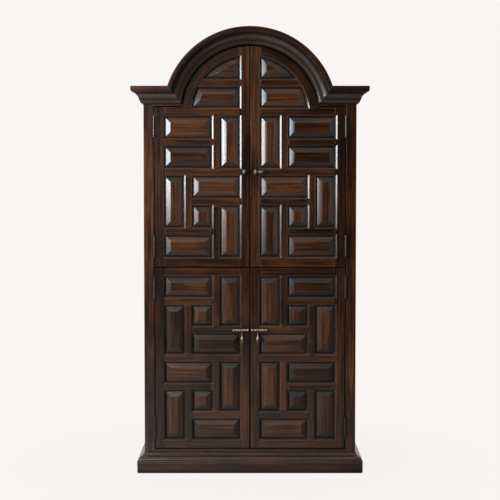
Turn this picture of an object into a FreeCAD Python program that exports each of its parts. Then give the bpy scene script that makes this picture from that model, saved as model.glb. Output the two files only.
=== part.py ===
import FreeCAD, Part
import math
import os

# Bar armoire with an arched cornice and four panelled doors, in millimetres.
# Origin on the floor under the middle of the armoire, +X to the viewer's right, -Y to the front, +Z up.

V = FreeCAD.Vector

# Case
CASE_WIDTH = 1060.0
CASE_DEPTH = 500.0
FACE_THICKNESS = 24.0
FACE_STILE_WIDTH = 50.0
SIDE_THICKNESS = 25.0
BACK_THICKNESS = 10.0
BACK_INSET = 2.0
BOARD_THICKNESS = 20.0
COUNTER_THICKNESS = 25.0
EDGE_CHAMFER = 2.2

# Heights
PLINTH_HEIGHT = 43.0
BASE_CAP_HEIGHT = 56.0
BOTTOM_RAIL_SHOW = 18.0
LOWER_DOOR_HEIGHT = 911.0
DOOR_SPLIT = 3.5
UPPER_DOOR_SHOULDER = 799.5
ARCH_DROP = 39.0
ARCH_SHARE = 0.32

# Plinth and mouldings
PLINTH_PROJECTION = 35.5
PLINTH_RAIL_WIDTH = 60.0
PLINTH_ROUND = 8.0
CORNICE_HEIGHT = 87.0
CORNICE_PROJECTION = 60.0
CORNICE_REVEAL = 0.5
HEADER_STRIP = 8.5
HEADER_SETBACK = 5.5
VAULT_THICKNESS = 16.0
SHOULDER_OVERLAP = 5.0

# Doors
DOOR_GAP = 4.0
MEETING_GAP = 4.0
DOOR_STILE = 53.0
DOOR_BAR = 49.5
UPPER_BOTTOM_RAIL = 55.0
LOWER_RAIL = 49.0
SHOULDER_RAIL = 52.0
ARCH_PANEL_SHARE = 0.381
ARCH_BAR_SHARE = 0.214
DOOR_CLEARANCE = 1.0

# Moulded edge round each panel opening, as shares of its width and depth from the face inwards
STICKING_WIDTH = 12.0
STICKING_DEPTH = 12.0
STICKING_PROFILE = [(1.0, 0.04), (0.45, 0.33), (0.32, 0.72), (0.0, 1.0)]

# Raised panels, with a bevel that eases off towards the field
TONGUE_LENGTH = 8.0
TONGUE_THICKNESS = 6.0
TONGUE_PLAY = 0.7
GROOVE_PLAY = 0.1
BEVEL_WIDTH = 27.0
BEVEL_STEPS = 3
BEVEL_STEEP_DEGREES = 26.0
BEVEL_EASED_DEGREES = 22.0

# Framed sides
SIDE_STILE = 70.0
SIDE_BOTTOM_RAIL = 120.0
SIDE_MIDDLE_RAIL = 90.0
SIDE_TOP_RAIL = 130.0

# Butt hinges
HINGE_LENGTH = 104.0
HINGE_TOP_INSET = 98.0
HINGE_BOTTOM_INSET = 105.0
HINGE_RADIUS = 4.75
HINGE_TIP = 3.5
HINGE_PIN_RADIUS = 2.5
HINGE_LEAF = 2.2
HINGE_LEAF_DEPTH = 20.0
HINGE_STAND = 5.5
HINGE_KNUCKLES = 5
KNUCKLE_PLAY = 0.3
PIN_PLAY = 0.05

# Upper door knob and turn latch
KNOB_INSET = 27.0
LATCH_INSET = 25.0
OLIVE_STEPS = 10
OLIVE_END_DEGREES = 72.0
KNOB_RADIUS = 10.0
KNOB_HALF_HEIGHT = 14.7
KNOB_STAND = 16.0
ROSE_RADIUS = 8.0
ROSE_THICKNESS = 4.0
SPINDLE_RADIUS = 4.5
HUB_RADIUS = 8.5
HUB_HALF_HEIGHT = 14.0
LEVER_STAND = 16.0
LEVER_LENGTH = 45.0
LEVER_RADIUS = 9.0
TONGUE_BAR_LENGTH = 44.0
TONGUE_BAR_WIDTH = 14.0
TONGUE_BAR_THICKNESS = 6.0

# Lower door pulls
PULL_START = 3.0
PULL_LENGTH = 82.0
PULL_RADIUS = 6.0
PULL_STAND = 16.0
PULL_POST_RADIUS = 3.5
PULL_POST_SPACING = 44.0
PENDANT_INSET = 37.0
PENDANT_DROP = 76.0
PENDANT_RADIUS = 8.8
PENDANT_WIRE = 2.0
PENDANT_PLAY = 0.5

# Fittings inside
UPPER_SHELF_RISE = 680.0
MIDDLE_SHELF_RISE = 376.0
LOWER_SHELF_RISE = 600.0
SHELF_SETBACK = 22.0
SHELF_PLAY = 2.0
PIN_RADIUS = 3.0
PIN_LENGTH = 20.0
PIN_DEPTH = 10.0
STEM_RAIL_COUNT = 9
STEM_SLAT_WIDTH = 82.0
STEM_SLAT_THICKNESS = 10.0
STEM_WEB_WIDTH = 22.0
STEM_WEB_HEIGHT = 18.0
BOTTLE_BOARD = 12.0
BOTTLE_CELL_HEIGHT = 110.0
BOTTLE_COLUMNS = 8
CATCH_RADIUS = 4.0
CATCH_LENGTH = 16.0
CATCH_BALL = 2.6
CATCH_INSET = 90.0

# Positions that follow from the sizes
HALF_CASE = CASE_WIDTH / 2
FACE_Y = (CORNICE_PROJECTION - CASE_DEPTH) / 2
BACK_Y = FACE_Y + CASE_DEPTH
INSIDE_Y = FACE_Y + FACE_THICKNESS
BACK_BOARD_Y = BACK_Y - BACK_INSET - BACK_THICKNESS
HALF_OPENING = HALF_CASE - FACE_STILE_WIDTH
HALF_INSIDE = HALF_CASE - SIDE_THICKNESS
FLOOR_Z = PLINTH_HEIGHT + BASE_CAP_HEIGHT + BOTTOM_RAIL_SHOW
LOWER_Z0 = FLOOR_Z + DOOR_GAP
LOWER_Z1 = LOWER_Z0 + LOWER_DOOR_HEIGHT
UPPER_Z0 = LOWER_Z1 + DOOR_SPLIT
SHOULDER_Z = UPPER_Z0 + UPPER_DOOR_SHOULDER
ARCH_Z = SHOULDER_Z - ARCH_DROP
ARCH_RADIUS = CASE_WIDTH * ARCH_SHARE
CORNICE_Z = SHOULDER_Z + DOOR_GAP + HEADER_STRIP
TOP_Z = CORNICE_Z + CORNICE_HEIGHT
ARCH_INNER = ARCH_RADIUS + DOOR_GAP + CORNICE_REVEAL
ARCH_OUTER = ARCH_INNER + CORNICE_HEIGHT
VAULT_OUTER = ARCH_OUTER - HEADER_SETBACK
VAULT_INNER = VAULT_OUTER - VAULT_THICKNESS
COUNTER_MID = (LOWER_Z1 + UPPER_Z0) / 2
COUNTER_Z0 = COUNTER_MID - COUNTER_THICKNESS / 2
COUNTER_Z1 = COUNTER_MID + COUNTER_THICKNESS / 2
DOOR_X0 = -(HALF_OPENING - DOOR_GAP)
DOOR_X1 = -MEETING_GAP / 2
HINGE_X = -(HALF_OPENING - DOOR_GAP / 2)
HINGE_Y = FACE_Y - HINGE_STAND
GROOVE_THICKNESS = TONGUE_THICKNESS + 2 * GROOVE_PLAY
CATCH_X = (HALF_OPENING + math.sqrt(ARCH_RADIUS ** 2 - ARCH_DROP ** 2)) / 2
LOW_CATCHES = [(-CATCH_INSET, FLOOR_Z, 1), (CATCH_INSET, FLOOR_Z, 1)]
HIGH_CATCHES = [(-CATCH_X, SHOULDER_Z + DOOR_GAP, -1), (CATCH_X, SHOULDER_Z + DOOR_GAP, -1)]


def box(x0, x1, y0, y1, z0, z1):
    return Part.makeBox(x1 - x0, y1 - y0, z1 - z0, V(x0, y0, z0))


def wire_of(start, steps, place):
    """Closed wire: each step is an end point, or a pair of a point on an arc and its end."""
    edges = []
    here = start
    for step in list(steps) + [start]:
        if isinstance(step[0], tuple):
            via, end = step
            edges.append(Part.Arc(place(*here), place(*via), place(*end)).toShape())
        else:
            end = step
            if end == here:
                continue
            edges.append(Part.makeLine(place(*here), place(*end)))
        here = end
    return Part.Wire(edges)


def prism(wire, along):
    return Part.Face(wire).extrude(along)


def in_elevation(y):
    return lambda x, z: V(x, y, z)


def in_plan(z):
    return lambda x, y: V(x, y, z)


def mirrored(shape):
    return shape.mirror(V(0, 0, 0), V(1, 0, 0))


def lathe(start, steps, origin, across, along):
    """Solid of revolution: points are (radius, distance along the axis)."""
    def place(radius, distance):
        return origin + across * radius + along * distance
    return Part.Face(wire_of(start, steps, place)).revolve(origin, along, 360)


def group(solids):
    return solids[0] if len(solids) == 1 else Part.makeCompound(solids)


def one(shape):
    """The single solid inside a result of cutting or joining."""
    if len(shape.Solids) != 1:
        raise ValueError("expected one solid, found %d" % len(shape.Solids))
    return shape.Solids[0]


def arch_x(radius, z):
    return -math.sqrt(radius ** 2 - (z - ARCH_Z) ** 2)


def arch_top(radius, x):
    return ARCH_Z + math.sqrt(radius ** 2 - x ** 2)


def arc_middle(radius, a, b):
    """Point half way round the arch circle between two points on it."""
    angle_a = math.atan2(a[1] - ARCH_Z, a[0])
    angle_b = math.atan2(b[1] - ARCH_Z, b[0])
    middle = (angle_a + angle_b) / 2
    return (radius * math.cos(middle), ARCH_Z + radius * math.sin(middle))


class Opening:
    """Sight size of one panel opening. A radius makes its left side part of the arch circle."""

    def __init__(self, x0, x1, z0, z1, radius=None):
        self.x0, self.x1, self.z0, self.z1, self.radius = x0, x1, z0, z1, radius

    def wire(self, grow, y):
        x1, z0 = self.x1 + grow, self.z0 - grow
        place = in_elevation(y)
        if self.radius is None:
            x0, z1 = self.x0 - grow, self.z1 + grow
            return wire_of((x0, z0), [(x1, z0), (x1, z1), (x0, z1)], place)
        radius = self.radius + grow
        foot = (arch_x(radius, z0), z0)
        if self.z1 is None:
            tip = (x1, arch_top(radius, x1))
            return wire_of(foot, [(x1, z0), tip, (arc_middle(radius, tip, foot), foot)], place)
        z1 = self.z1 + grow
        head = (arch_x(radius, z1), z1)
        return wire_of(foot, [(x1, z0), (x1, z1), head, (arc_middle(radius, head, foot), foot)], place)

    def slab(self, grow, y0, y1):
        return prism(self.wire(grow, y0), V(0, y1 - y0, 0))

    def cutters(self):
        """Moulded edge and panel groove, cut into the frame round the opening."""
        wires = [self.wire(STICKING_WIDTH, -1.0)]
        for width_share, depth_share in STICKING_PROFILE:
            wires.append(self.wire(STICKING_WIDTH * width_share, STICKING_DEPTH * depth_share))
        moulded = Part.makeLoft(wires, True, True)
        groove = self.slab(TONGUE_LENGTH, STICKING_DEPTH, STICKING_DEPTH + GROOVE_THICKNESS)
        return [moulded, groove]

    def raised_panel(self):
        front = STICKING_DEPTH + GROOVE_PLAY
        tongue = self.slab(TONGUE_LENGTH - TONGUE_PLAY, front, front + TONGUE_THICKNESS)
        wires = [self.wire(0.0, front)]
        depth, width = front, BEVEL_WIDTH / BEVEL_STEPS
        easing = (BEVEL_EASED_DEGREES - BEVEL_STEEP_DEGREES) / (BEVEL_STEPS - 1)
        for step in range(BEVEL_STEPS):
            depth -= width * math.tan(math.radians(BEVEL_STEEP_DEGREES + easing * step))
            wires.append(self.wire(-width * (step + 1), depth))
        return one(tongue.fuse(Part.makeLoft(wires, True, True)).removeSplitter())

    def flat_panel(self):
        front = STICKING_DEPTH + GROOVE_PLAY
        return self.slab(TONGUE_LENGTH - TONGUE_PLAY, front, front + TONGUE_THICKNESS)


class Grid:
    """Three columns and a number of rows of openings, with bars between them."""

    def __init__(self, z0, z1, count):
        x0, x1 = DOOR_X0 + DOOR_STILE, DOOR_X1 - DOOR_STILE
        self.cols = self.split(x0, x1, 3)
        self.rows = self.split(z0, z1, count)

    @staticmethod
    def split(start, end, count):
        size = (end - start - (count - 1) * DOOR_BAR) / count
        return [(start + i * (size + DOOR_BAR), start + i * (size + DOOR_BAR) + size) for i in range(count)]

    def opening(self, c0, c1, r0, r1):
        return Opening(self.cols[c0][0], self.cols[c1][1], self.rows[r0][0], self.rows[r1][1])

    def upright(self, c, r0, r1):
        """Upright bar to the right of column c, beside rows r0 to r1."""
        return (self.cols[c][1], self.cols[c + 1][0], self.rows[r0][0], self.rows[r1][1])

    def cross_bar(self, r, c0, c1):
        """Cross bar above row r, over columns c0 to c1."""
        return (self.cols[c0][0], self.cols[c1][1], self.rows[r][1], self.rows[r + 1][0])


def pinwheel(grid, r, turned):
    """Four long panels round a square one: wide panels, tall panels, uprights and cross bars."""
    if turned:
        wide = [grid.opening(1, 2, r, r), grid.opening(0, 1, r + 2, r + 2)]
        tall = [grid.opening(0, 0, r, r + 1), grid.opening(2, 2, r + 1, r + 2)]
        uprights = [grid.upright(0, r, r + 1), grid.upright(1, r + 1, r + 2)]
        bars = [grid.cross_bar(r, 1, 2), grid.cross_bar(r + 1, 0, 1)]
    else:
        wide = [grid.opening(0, 1, r, r), grid.opening(1, 2, r + 2, r + 2)]
        tall = [grid.opening(2, 2, r, r + 1), grid.opening(0, 0, r + 1, r + 2)]
        uprights = [grid.upright(1, r, r + 1), grid.upright(0, r + 1, r + 2)]
        bars = [grid.cross_bar(r, 0, 1), grid.cross_bar(r + 1, 1, 2)]
    tall.append(grid.opening(1, 1, r + 1, r + 1))
    return wide, tall, uprights, bars


def region(x0, x1, z0, z1):
    return box(x0, x1, 0, FACE_THICKNESS, z0, z1)


def leaf_mortises(heights):
    """Recesses in the hinge edge of a door for the hinge leaves."""
    return [box(DOOR_X0 - 1, DOOR_X0 + HINGE_LEAF, -1, HINGE_LEAF_DEPTH,
                z - HINGE_LENGTH / 2, z + HINGE_LENGTH / 2) for z in heights]


def members(blank, regions, openings):
    """Frame members: the door blank inside each region, less the moulded edges and grooves next to it."""
    cutters = [cutter for opening in openings for cutter in opening.cutters()]
    solids = []
    for shape in regions:
        piece = blank.common(shape)
        near = [c for c in cutters if c.BoundBox.intersect(piece.BoundBox)]
        solids.append(one(piece.cut(near)))
    return solids


def set_in_front(solids):
    moved = [solid.copy() for solid in solids]
    for solid in moved:
        solid.translate(V(0, FACE_Y, 0))
    return moved


def hinge_heights(z0, z1):
    return [z0 + HINGE_BOTTOM_INSET, z1 - HINGE_TOP_INSET]


def blank_from(outline):
    """Door blank with a small chamfer round its front edge."""
    wires = [outline(-EDGE_CHAMFER, 0.0), outline(0.0, EDGE_CHAMFER), outline(0.0, FACE_THICKNESS)]
    return Part.makeLoft(wires, True, True)


def lower_door():
    """Left lower door: two pinwheels of raised panels, one above the other."""
    left, right = DOOR_X0 + DOOR_STILE, DOOR_X1 - DOOR_STILE
    grid = Grid(LOWER_Z0 + LOWER_RAIL, LOWER_Z1 - LOWER_RAIL, 6)
    wide, tall, uprights, bars = pinwheel(grid, 0, True)
    more = pinwheel(grid, 3, True)
    wide, tall, uprights, bars = wide + more[0], tall + more[1], uprights + more[2], bars + more[3]
    rails = [(left, right, LOWER_Z0, grid.rows[0][0]), (left, right, grid.rows[5][1], LOWER_Z1),
             grid.cross_bar(2, 0, 2)]

    def outline(grow, y):
        return Opening(DOOR_X0, DOOR_X1, LOWER_Z0, LOWER_Z1).wire(grow, y)

    blank = blank_from(outline).cut(leaf_mortises(hinge_heights(LOWER_Z0, LOWER_Z1)))
    stiles = [(DOOR_X0, left, LOWER_Z0, LOWER_Z1), (right, DOOR_X1, LOWER_Z0, LOWER_Z1)]
    openings = wide + tall
    door = {
        "stiles": members(blank, [region(*r) for r in stiles + uprights], openings),
        "rails": members(blank, [region(*r) for r in rails + bars], openings),
        "panels_wide": [opening.raised_panel() for opening in wide],
        "panels_tall": [opening.raised_panel() for opening in tall],
    }
    return door, (grid.rows[3][1] + grid.rows[4][0]) / 2


def upper_door():
    """Left upper door: a pinwheel, a stack of panels and two panels under the arch."""
    left, right = DOOR_X0 + DOOR_STILE, DOOR_X1 - DOOR_STILE
    top_row = SHOULDER_Z - SHOULDER_RAIL
    grid = Grid(UPPER_Z0 + UPPER_BOTTOM_RAIL, top_row, 5)
    wide, tall, uprights, bars = pinwheel(grid, 0, False)
    wide += [grid.opening(0, 1, 3, 3), grid.opening(0, 1, 4, 4)]
    tall += [grid.opening(2, 2, 3, 4)]
    uprights += [grid.upright(1, 3, 4)]
    bars += [grid.cross_bar(3, 0, 1)]
    rails = [(left, right, UPPER_Z0, grid.rows[0][0]), grid.cross_bar(2, 0, 2),
             (left, right, top_row, SHOULDER_Z)]

    sight = ARCH_RADIUS - DOOR_STILE
    rise = arch_top(sight, right) - SHOULDER_Z
    bar_z0 = SHOULDER_Z + rise * ARCH_PANEL_SHARE
    bar_z1 = bar_z0 + rise * ARCH_BAR_SHARE
    wide += [Opening(None, right, SHOULDER_Z, bar_z0, sight), Opening(None, right, bar_z1, None, sight)]

    def outline(grow, y):
        x0, x1, z0 = DOOR_X0 - grow, DOOR_X1 + grow, UPPER_Z0 - grow
        radius, shoulder = ARCH_RADIUS + grow, SHOULDER_Z + grow
        tip = (x1, arch_top(radius, x1))
        foot = (arch_x(radius, shoulder), shoulder)
        steps = [(x1, z0), tip, (arc_middle(radius, tip, foot), foot), (x0, shoulder)]
        return wire_of((x0, z0), steps, in_elevation(y))

    blank = blank_from(outline).cut(leaf_mortises(hinge_heights(UPPER_Z0, SHOULDER_Z)))
    crown = ARCH_Z + ARCH_RADIUS
    disc = Part.makeCylinder(sight, FACE_THICKNESS, V(0, 0, ARCH_Z), V(0, 1, 0))
    stiles = [(DOOR_X0, left, UPPER_Z0, SHOULDER_Z), (right, DOOR_X1, UPPER_Z0, crown)]
    openings = wide + tall
    bar_regions = [region(*r) for r in rails + bars]
    bar_regions.append(region(left, right, bar_z0, bar_z1).common(disc))
    arch_region = region(left, right, SHOULDER_Z, crown).cut(disc)
    door = {
        "stiles": members(blank, [region(*r) for r in stiles + uprights], openings),
        "rails": members(blank, bar_regions, openings),
        "arch_rail": members(blank, [arch_region], openings),
        "panels_wide": [opening.raised_panel() for opening in wide],
        "panels_tall": [opening.raised_panel() for opening in tall],
    }
    return door, (grid.rows[2][1] + grid.rows[3][0]) / 2


def hinge(z):
    """Left-hand butt hinge: case leaf, door leaf and pin with button tips."""
    bottom = z - HINGE_LENGTH / 2
    size = HINGE_LENGTH / HINGE_KNUCKLES
    axis = V(HINGE_X, HINGE_Y, bottom)

    def barrel(radius, start, length):
        return Part.makeCylinder(radius, length, axis + V(0, 0, start))

    bore = barrel(HINGE_PIN_RADIUS + PIN_PLAY, -1, HINGE_LENGTH + 2)
    leaves = []
    for odd in (0, 1):
        if odd:
            x0, x1 = DOOR_X0, DOOR_X0 + HINGE_LEAF
        else:
            x0, x1 = -HALF_OPENING - HINGE_LEAF, -HALF_OPENING
        leaf = box(x0, x1, HINGE_Y, FACE_Y + HINGE_LEAF_DEPTH, bottom, bottom + HINGE_LENGTH)
        own = [k for k in range(HINGE_KNUCKLES) if k % 2 == odd]
        other = [k for k in range(HINGE_KNUCKLES) if k % 2 != odd]
        room = [barrel(HINGE_RADIUS + KNUCKLE_PLAY, k * size - KNUCKLE_PLAY / 2, size + KNUCKLE_PLAY)
                for k in other]
        knuckles = [barrel(HINGE_RADIUS, k * size + KNUCKLE_PLAY / 2, size - KNUCKLE_PLAY) for k in own]
        leaves.append(one(leaf.cut(room).fuse(knuckles).cut(bore)))
    thin, wide = HINGE_PIN_RADIUS, HINGE_RADIUS * 0.95
    low, high = -KNUCKLE_PLAY, HINGE_LENGTH + KNUCKLE_PLAY
    steps = [(wide * 0.5, low - HINGE_TIP), (wide, low - HINGE_TIP * 0.6), (wide, low), (thin, low),
             (thin, high), (wide, high), (wide, high + HINGE_TIP * 0.6), (wide * 0.5, high + HINGE_TIP),
             (0.0, high + HINGE_TIP)]
    pin = lathe((0.0, low - HINGE_TIP), steps, axis, V(1, 0, 0), V(0, 0, 1))
    return leaves[0], leaves[1], pin


def cornice_profile(place):
    """Cornice section: (projection, distance up from the lower edge)."""
    out = CORNICE_PROJECTION
    high = CORNICE_HEIGHT
    steps = [(out * 0.07, 0.0), ((out * 0.25, high * 0.115), (out * 0.29, high * 0.215)),
             (out * 0.29, high * 0.24), (out * 0.35, high * 0.24), (out * 0.35, high * 0.275),
             ((out * 0.440, high * 0.435), (out * 0.60, high * 0.575)),
             (out * 0.60, high * 0.60), (out * 0.74, high * 0.60),
             (out * 0.74, high * 0.64), (out * 0.77, high * 0.64),
             ((out * 0.92, high * 0.69), (out, high * 0.78)),
             (out, high - EDGE_CHAMFER), (out - EDGE_CHAMFER, high), (0.0, high)]
    return wire_of((0.0, 0.0), steps, place)


def base_cap_profile(place):
    """Base cap section: (projection, distance up from the plinth)."""
    out = PLINTH_PROJECTION
    high = BASE_CAP_HEIGHT
    steps = [(out * 0.94, 0.0), ((out * 1.03, high * 0.085), (out * 0.97, high * 0.17)),
             ((out * 1.03, high * 0.265), (out * 0.95, high * 0.35)),
             ((out * 0.78, high * 0.60), (out * 0.44, high * 0.74)),
             (out * 0.40, high * 0.74), (out * 0.40, high * 0.79), (out * 0.36, high * 0.79),
             ((out * 0.20, high * 0.865), (out * 0.12, high)), (0.0, high)]
    return wire_of((0.0, 0.0), steps, place)


def plinth_profile(place):
    out, turn = PLINTH_PROJECTION, PLINTH_ROUND
    back = PLINTH_PROJECTION - PLINTH_RAIL_WIDTH
    bend = turn * (1 - math.sqrt(0.5))
    high = PLINTH_HEIGHT
    steps = [(out - turn, 0.0), ((out - bend, bend), (out, turn)), (out, high), (back, high)]
    return wire_of((back, 0.0), steps, place)


def front_run(profile, reach, inward, z0):
    """Moulding along the front, mitred at both corners of the case."""
    length = HALF_CASE + reach
    section = profile(lambda p, s: V(-length, FACE_Y - p, z0 + s))
    run = prism(section, V(2 * length, 0, 0))
    tall = run.BoundBox.ZLength + 2
    plan = wire_of((-length, FACE_Y - reach),
                   [(length, FACE_Y - reach), (HALF_CASE - inward, FACE_Y + inward),
                    (-HALF_CASE + inward, FACE_Y + inward)], in_plan(z0 - 1))
    return one(run.common(prism(plan, V(0, 0, tall))))


def left_run(profile, reach, inward, z0):
    """Moulding along the left side, mitred at the front corner."""
    section = profile(lambda p, s: V(-HALF_CASE - p, FACE_Y - reach, z0 + s))
    run = prism(section, V(0, CASE_DEPTH + reach, 0))
    tall = run.BoundBox.ZLength + 2
    plan = wire_of((-HALF_CASE - reach, FACE_Y - reach),
                   [(-HALF_CASE + inward, FACE_Y + inward), (-HALF_CASE + inward, BACK_Y),
                    (-HALF_CASE - reach, BACK_Y)], in_plan(z0 - 1))
    return one(run.common(prism(plan, V(0, 0, tall))))


def mitre_point(offset):
    """Where the straight and the curved cornice meet, at one distance from their lower edges."""
    z = CORNICE_Z + offset
    return (arch_x(ARCH_INNER + offset, z), z)


def arch_side(y0, y1):
    """Block over the arch, bounded on both sides by the mitre with the straight cornice."""
    low, high = -CORNICE_HEIGHT * 0.05, CORNICE_HEIGHT * 1.05
    foot, middle, head = mitre_point(low), mitre_point((low + high) / 2), mitre_point(high)
    crown = ARCH_Z + ARCH_OUTER + CORNICE_HEIGHT

    def across(point):
        return (-point[0], point[1])

    steps = [(across(middle), across(head)), (-head[0], crown), (head[0], crown), head, (middle, foot)]
    outline = wire_of(across(foot), steps, in_elevation(y0))
    return prism(outline, V(0, y1 - y0, 0))


def cornice():
    """Left cornice pieces and the arch moulding, all of one section."""
    reach = CORNICE_PROJECTION
    block = arch_side(FACE_Y - reach - 1, FACE_Y + 1)
    front = front_run(cornice_profile, reach, 0.0, CORNICE_Z).cut(block)
    left = [solid for solid in front.Solids if solid.CenterOfMass.x < 0]
    side = left_run(cornice_profile, reach, 0.0, CORNICE_Z)
    section = cornice_profile(lambda p, s: V(0, FACE_Y - p, ARCH_Z + ARCH_INNER + s))
    ring = Part.Face(section).revolve(V(0, 0, ARCH_Z), V(0, 1, 0), 360)
    return [one(Part.makeCompound(left)), side], one(ring.common(block))


def arched_board(half_width, z0, z1, radius, y0, y1):
    """Board with a flat-topped shoulder each side and an arched middle."""
    head = (arch_x(radius, z1), z1)
    crown = (0.0, ARCH_Z + radius)
    steps = [(half_width, z0), (half_width, z1), (-head[0], z1), (crown, head), (-half_width, z1)]
    return prism(wire_of((-half_width, z0), steps, in_elevation(y0)), V(0, y1 - y0, 0))


def arch_header():
    """Face frame header, cut to the outline of the upper doors."""
    top = arched_board(HALF_OPENING, SHOULDER_Z + DOOR_GAP, TOP_Z, VAULT_OUTER, FACE_Y, INSIDE_Y)
    cut = Part.makeCylinder(ARCH_RADIUS + DOOR_GAP, FACE_THICKNESS, V(0, FACE_Y, ARCH_Z), V(0, 1, 0))
    return one(top.cut([cut] + [catch(*place, PIN_PLAY) for place in HIGH_CATCHES]))


def catch(x, z, upward, play):
    """Bullet catch let into a rail; the ball stands a little out of the rail."""
    middle_y = FACE_Y + FACE_THICKNESS / 2
    along = V(0, 0, upward)
    radius = CATCH_RADIUS + play
    deep = CATCH_LENGTH + play
    steps = [(radius, -deep), (radius, 0.0), (radius * 0.6, 0.0), (radius * 0.45, CATCH_BALL * 0.75),
             (radius * 0.2, CATCH_BALL), (0.0, CATCH_BALL)]
    return lathe((0.0, -deep), steps, V(x, middle_y, z), V(1, 0, 0), along)


def side_frame():
    """Left side: frame members and flat panels, with pin holes for the shelves."""
    z0, z1 = PLINTH_HEIGHT, TOP_Z - BOARD_THICKNESS
    depth = BACK_Y - INSIDE_Y
    u0, u1 = 0.0, depth
    middle = COUNTER_MID
    lower = Opening(u0 + SIDE_STILE, u1 - SIDE_STILE, z0 + SIDE_BOTTOM_RAIL, middle - SIDE_MIDDLE_RAIL / 2)
    upper = Opening(u0 + SIDE_STILE, u1 - SIDE_STILE, middle + SIDE_MIDDLE_RAIL / 2, z1 - SIDE_TOP_RAIL)
    blank = box(u0, u1, 0, SIDE_THICKNESS, z0, z1)
    regions = [(u0, lower.x0, z0, z1), (lower.x1, u1, z0, z1), (lower.x0, lower.x1, z0, lower.z0),
               (lower.x0, lower.x1, lower.z1, upper.z0), (lower.x0, lower.x1, upper.z1, z1)]
    blocks = [box(r[0], r[1], 0, SIDE_THICKNESS, r[2], r[3]) for r in regions]
    frame = members(blank, blocks, [lower, upper])
    panels = [lower.flat_panel(), upper.flat_panel()]
    turn = FreeCAD.Placement(V(-HALF_CASE, BACK_Y, 0), FreeCAD.Rotation(V(0, 0, 1), -90))
    for solid in frame + panels:
        solid.Placement = turn.multiply(solid.Placement)
    holes = [pin_at(x, y, z, PIN_PLAY) for x, y, z in pin_places() if x < 0]
    frame = [one(solid.cut([h for h in holes if h.BoundBox.intersect(solid.BoundBox)])) for solid in frame]
    return frame, panels


def pin_places():
    """Shelf pins: one near each corner of each adjustable shelf."""
    front = INSIDE_Y + SIDE_STILE * 0.6
    rear = BACK_Y - SIDE_STILE * 0.6
    heights = [FLOOR_Z + LOWER_SHELF_RISE, COUNTER_Z1 + MIDDLE_SHELF_RISE]
    spots = [(side * HALF_INSIDE, y) for y in (front, rear) for side in (-1, 1)]
    return [(x, y, z - PIN_RADIUS) for z in heights for x, y in spots]


def pin_at(x, y, z, play):
    inward = 1 if x < 0 else -1
    start = V(x - inward * (PIN_DEPTH + play), y, z)
    return Part.makeCylinder(PIN_RADIUS + play, PIN_LENGTH + play, start, V(inward, 0, 0))


def stemware_rails(z):
    """Slats hung under the upper shelf; a glass foot slides in between two of them."""
    y0, y1 = INSIDE_Y + SHELF_SETBACK, BACK_BOARD_Y
    pitch = (2 * HALF_INSIDE - STEM_SLAT_WIDTH) / (STEM_RAIL_COUNT - 1)
    solids = []
    web, slat = STEM_WEB_WIDTH / 2, STEM_SLAT_WIDTH / 2
    slat_z = z - STEM_WEB_HEIGHT
    for i in range(STEM_RAIL_COUNT):
        x = -HALF_INSIDE + slat + i * pitch
        solids.append(box(x - web, x + web, y0, y1, slat_z, z))
        solids.append(box(x - slat, x + slat, y0, y1, slat_z - STEM_SLAT_THICKNESS, slat_z))
    return solids


def bottle_rack():
    """Two rows of bottle cells on the bottom board: two boards and the dividers."""
    y0, y1 = INSIDE_Y + SHELF_SETBACK, BACK_BOARD_Y
    pitch = 2 * HALF_INSIDE / BOTTLE_COLUMNS
    solids = []
    for row in range(2):
        z0 = FLOOR_Z + row * (BOTTLE_CELL_HEIGHT + BOTTLE_BOARD)
        z1 = z0 + BOTTLE_CELL_HEIGHT
        solids.append(box(-HALF_INSIDE, HALF_INSIDE, y0, y1, z1, z1 + BOTTLE_BOARD))
        for i in range(1, BOTTLE_COLUMNS):
            x = -HALF_INSIDE + i * pitch
            solids.append(box(x - BOTTLE_BOARD / 2, x + BOTTLE_BOARD / 2, y0, y1, z0, z1))
    return solids


def ball_low(radius, centre, r):
    """Point on the near half of a ball on the axis, at distance r from the axis."""
    return (r, centre - math.sqrt(radius ** 2 - r ** 2))


def ball_high(radius, centre, r):
    return (r, centre + math.sqrt(radius ** 2 - r ** 2))


def olive(radius, half, middle):
    """Upright turned olive with small flat ends."""
    turns = [math.radians(OLIVE_END_DEGREES * (2 * i / OLIVE_STEPS - 1)) for i in range(OLIVE_STEPS + 1)]
    steps = [(radius * math.cos(turn), half * math.sin(turn)) for turn in turns]
    low, high = steps[0][1], steps[-1][1]
    return lathe((0.0, low), steps + [(0.0, high)], middle, V(1, 0, 0), V(0, 0, 1))


def knob(x, z):
    """Olive knob on a post with a small rose."""
    radius, stand = ROSE_RADIUS, KNOB_STAND
    steps = [(radius, 0.0), (radius, ROSE_THICKNESS * 0.5), (radius * 0.7, ROSE_THICKNESS),
             (radius * 0.5, ROSE_THICKNESS), (radius * 0.5, stand), (0.0, stand)]
    post = lathe((0.0, 0.0), steps, V(x, FACE_Y, z), V(1, 0, 0), V(0, -1, 0))
    return one(post.fuse(olive(radius=KNOB_RADIUS, half=KNOB_HALF_HEIGHT, middle=V(x, FACE_Y - stand, z))))


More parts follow.
